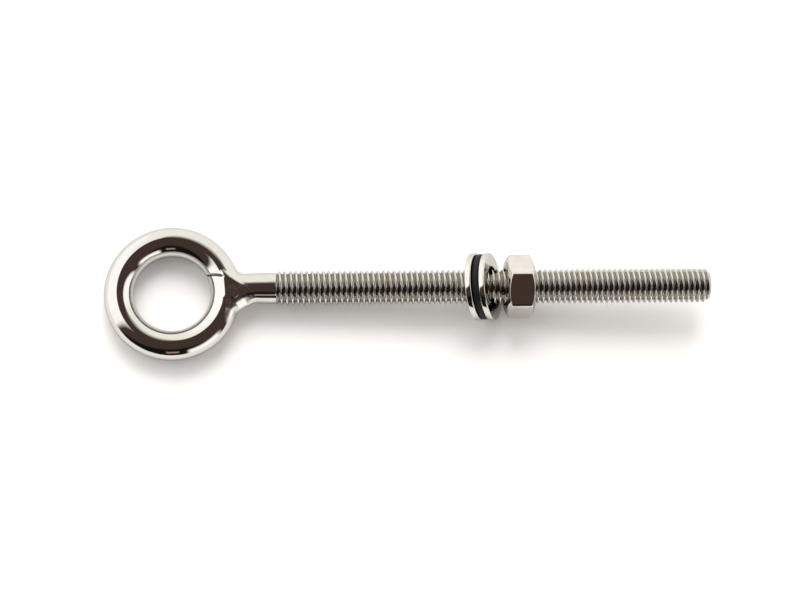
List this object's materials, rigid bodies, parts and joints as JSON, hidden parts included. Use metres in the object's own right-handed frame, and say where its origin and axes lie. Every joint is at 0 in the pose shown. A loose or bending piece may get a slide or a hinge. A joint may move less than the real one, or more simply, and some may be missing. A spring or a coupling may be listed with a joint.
{
  "type": "eye bolt",
  "caption": "Welded eye bolt with a long right-hand thread, a hexagon nut, flat washers and a rubber sealing washer.",
  "frame": {"origin": "centre of the eye's opening, in the middle of the bar", "axes": "+X along the shank from the eye to the tip, +Z square to the plane of the eye"},
  "size_m": [0.139, 0.0308, 0.0148],
  "materials": {
    "polished_steel": "mirror-polished stainless steel",
    "weld_metal": "ground and polished stainless weld",
    "thread_steel": "rolled and polished stainless thread",
    "washer_steel": "polished stainless steel, punched edge",
    "black_rubber": "matt black rubber",
    "nut_steel": "polished stainless steel"
  },
  "bodies": {
    "eye_bolt": {"eye_ring": "polished_steel", "weld_bead": "weld_metal", "threaded_shank": "thread_steel"},
    "rear_washer": {"rear_washer": "washer_steel"},
    "rubber_washer": {"rubber_washer": "black_rubber"},
    "front_washer": {"front_washer": "washer_steel"},
    "hex_nut": {"hex_nut": "nut_steel"}
  },
  "joints": [
    {"name": "nut_travel", "type": "slide", "parent": "eye_bolt", "child": "rear_washer", "axis": [1, 0, 0], "range_m": [-0.03, 0.04]},
    {"name": "nut_turn", "type": "hinge", "parent": "rear_washer", "child": "hex_nut", "pos_m": [0.07935, 0.00113, 0], "axis": [1, 0, 0], "range_deg": [-8640, 11520]},
    {"name": "rubber_washer_slide", "type": "slide", "parent": "rear_washer", "child": "rubber_washer", "axis": [1, 0, 0], "range_m": [-0.0085, 0]},
    {"name": "front_washer_slide", "type": "slide", "parent": "rubber_washer", "child": "front_washer", "axis": [1, 0, 0], "range_m": [-0.0085, 0]}
  ],
  "couplings": [
    {"joint": "nut_travel", "follows": "nut_turn", "m_per_rad": 0.00019894}
  ]
}
